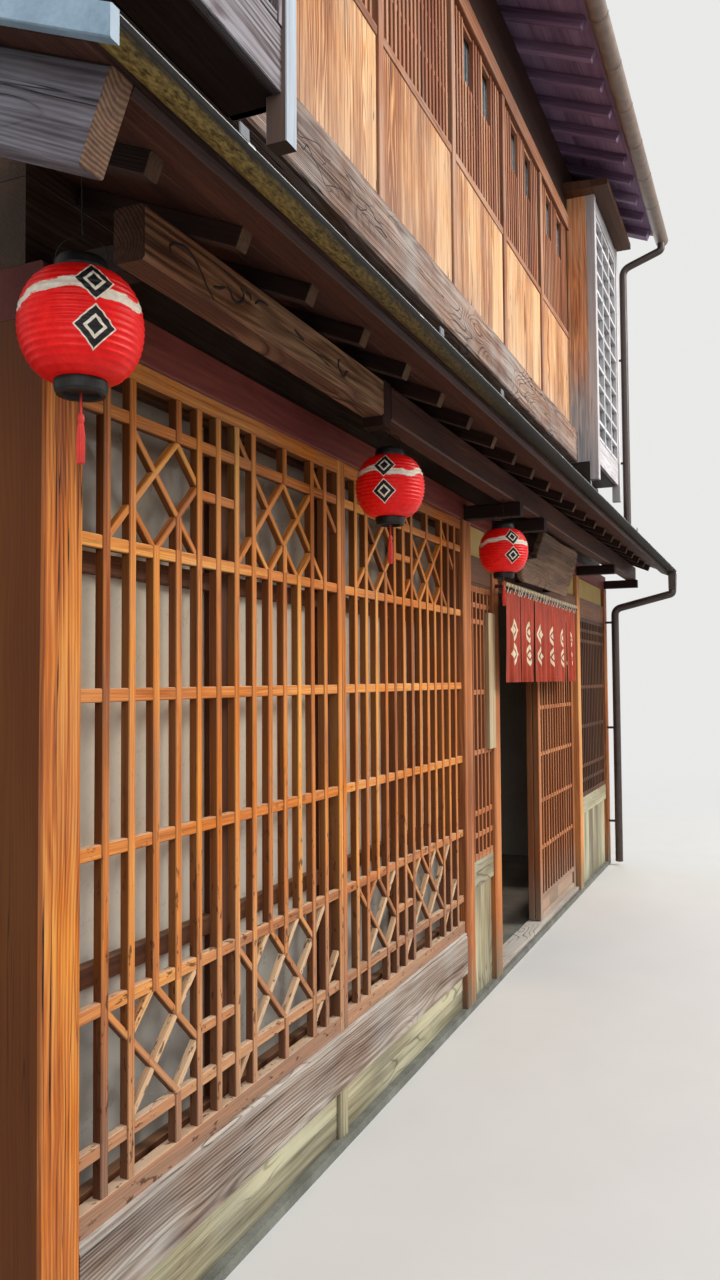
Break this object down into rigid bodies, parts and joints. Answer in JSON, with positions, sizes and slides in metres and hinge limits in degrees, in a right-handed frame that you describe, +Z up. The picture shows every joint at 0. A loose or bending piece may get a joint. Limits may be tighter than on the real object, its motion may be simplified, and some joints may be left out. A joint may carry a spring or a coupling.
{
  "type": "townhouse",
  "caption": "Two storey Japanese wooden townhouse with a diamond lattice window, sliding lattice doors, a pent roof with hung lanterns, oriel boxes and a gable roof",
  "frame": {"origin": "Centre of the house's footprint between its walls, on the ground", "axes": "X runs along the front from its free left corner to the party wall, Y from the street front to the rear, Z up from the ground"},
  "size_m": [7.164, 8.4317, 7.1247],
  "materials": {
    "footing_stone": "rough dressed granite",
    "packed_earth": "packed earth and lime floor",
    "post_wood": "weathered orange brown timber, grey green at the feet",
    "sill_wood": "worn grey brown timber with open grain",
    "kick_wood": "pale yellow green weathered boards",
    "lattice_wood": "orange stained timber, paler and worn below",
    "dark_wood": "dark brown stained timber",
    "glass": "dusty clear glass",
    "lintel_wood": "brown stained timber",
    "plaster": "yellow ochre mud plaster",
    "door_wood": "orange brown stained timber",
    "sign_wood": "pale bare weathered board",
    "rod_wood": "pale bamboo",
    "curtain_cloth": "woven cotton, faded red brown",
    "wall_wood": "charred and weathered dark boards",
    "beam_wood": "bleached timber with knots",
    "soffit_wood": "sooty dark boards and rafters",
    "roof_tile": "grey fired clay pan tiles",
    "verge_wood": "grey weathered board with a sheet metal cap",
    "gutter_metal": "old painted sheet with lichen",
    "pipe_metal": "brown painted pipe",
    "floor_wood": "plain floor boards",
    "upper_wood": "faded orange boards",
    "upper_lattice_wood": "orange brown timber bars",
    "box_wood": "timber fading from orange at the top to blue grey at the foot",
    "lantern_paper": "ribbed red oiled paper with black caps"
  },
  "bodies": {
    "house": {"foundation": "footing_stone", "earth_floor": "packed_earth", "front_posts": "post_wood", "front_sill": "sill_wood", "kickboards": "kick_wood", "lattice_left": "lattice_wood", "lattice_right": "lattice_wood", "window_sashes": "dark_wood", "glass": "glass", "head_beam": "dark_wood", "entry_lintel": "lintel_wood", "entry_plaster": "plaster", "threshold": "sill_wood", "entry_lattices": "lattice_wood", "sign_boards": "sign_wood", "curtain_rod": "rod_wood", "noren": "curtain_cloth", "spandrel_wall": "wall_wood", "pent_arms": "dark_wood", "pent_purlin": "beam_wood", "pent_deck": "soffit_wood", "pent_roof": "roof_tile", "pent_verge": "verge_wood", "pent_gutter": "gutter_metal", "downpipes": "pipe_metal", "upper_floor": "floor_wood", "upper_beam": "beam_wood", "upper_boards": "upper_wood", "upper_frame": "upper_wood", "upper_lattice": "upper_lattice_wood", "box_frames": "box_wood", "box_lattices": "box_wood", "box_roofs": "box_wood", "left_wall": "wall_wood", "right_wall": "plaster", "rear_wall": "wall_wood", "rear_lattices": "upper_lattice_wood", "wall_plates": "dark_wood", "main_deck": "soffit_wood", "main_roof": "roof_tile", "ridge": "roof_tile", "main_gutter": "gutter_metal", "lanterns": "lantern_paper"},
    "door_outer": {"door_outer": "door_wood"},
    "door_inner": {"door_inner": "door_wood"}
  },
  "joints": [
    {"name": "door_outer_slide", "type": "slide", "parent": "house", "child": "door_outer", "axis": [-1, 0, 0], "range_m": [0, 0.985]},
    {"name": "door_inner_slide", "type": "slide", "parent": "house", "child": "door_inner", "axis": [-1, 0, 0], "range_m": [0, 0.985]}
  ]
}
